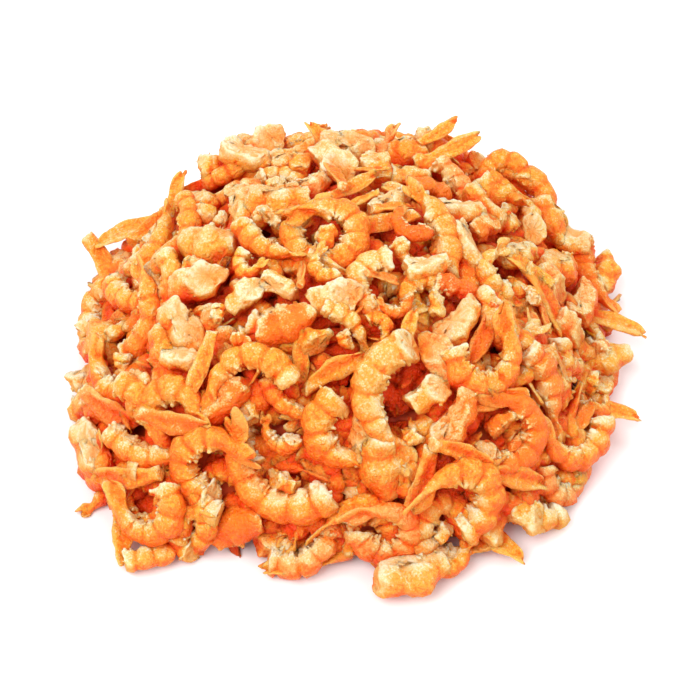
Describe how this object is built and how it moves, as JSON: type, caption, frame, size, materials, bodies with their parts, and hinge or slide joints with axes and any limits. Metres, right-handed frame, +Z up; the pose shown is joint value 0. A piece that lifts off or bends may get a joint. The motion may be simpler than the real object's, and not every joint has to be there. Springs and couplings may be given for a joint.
{
  "type": "heap of dried shrimp",
  "caption": "Loose heap of dried peeled shrimp, curled orange bodies, tails and lumps lying over each other, flat underneath.",
  "frame": {"origin": "middle of the heap's outline, on the surface that it lies on", "axes": "+Z up, -Y towards the side that the picture shows, +X to the right seen from there"},
  "size_m": [0.1506, 0.147, 0.053],
  "materials": {
    "dried_shrimp": "dry, slightly translucent orange flesh with a pale rough crust"
  },
  "bodies": {
    "root": {"shrimp_heap": "dried_shrimp"}
  },
  "joints": []
}
